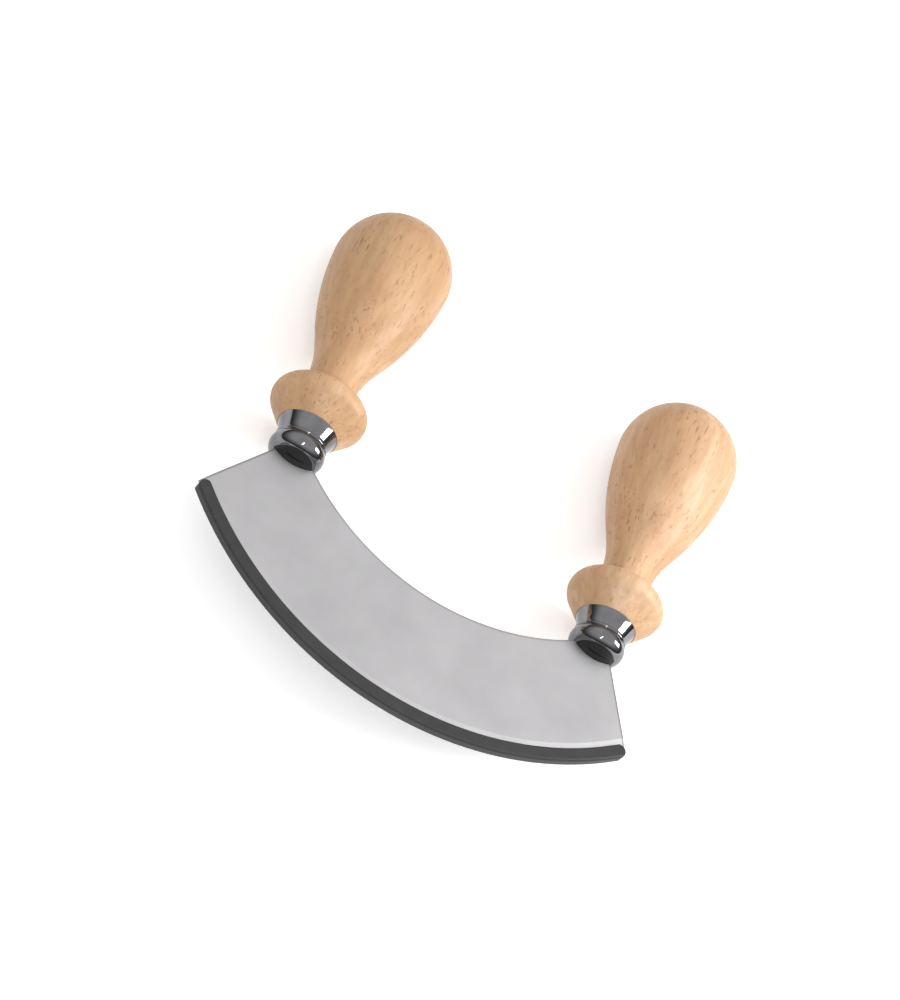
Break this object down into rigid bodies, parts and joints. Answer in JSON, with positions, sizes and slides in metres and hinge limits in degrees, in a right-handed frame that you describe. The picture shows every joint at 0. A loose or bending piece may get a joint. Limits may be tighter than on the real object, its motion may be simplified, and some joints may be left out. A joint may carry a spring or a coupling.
{
  "type": "mezzaluna",
  "caption": "Curved chopping blade with an upright turned wooden handle on a metal ferrule at each end and a slim slip-on edge guard.",
  "frame": {"origin": "centre of the bounding box in X and Y, at the lowest wood, with the part lying on its side as pictured", "axes": "X from the left handle to the right one, +Y from the blade towards the handles, +Z out of the blade's face"},
  "size_m": [0.1508, 0.1548, 0.038],
  "materials": {
    "blade_steel": "satin",
    "guard_plastic": "matt",
    "beech": "oiled",
    "plated_metal": "polished",
    "dark_insert": "matt"
  },
  "bodies": {
    "mezzaluna": {"blade": "blade_steel", "left_handle": "beech", "right_handle": "beech", "left_ferrule": "plated_metal", "right_ferrule": "plated_metal", "left_insert": "dark_insert", "right_insert": "dark_insert"},
    "guard": {"edge_guard": "guard_plastic"}
  },
  "joints": [
    {"name": "guard_slide", "type": "slide", "parent": "mezzaluna", "child": "guard", "axis": [0, -1, 0], "range_m": [0, 0.03]}
  ]
}
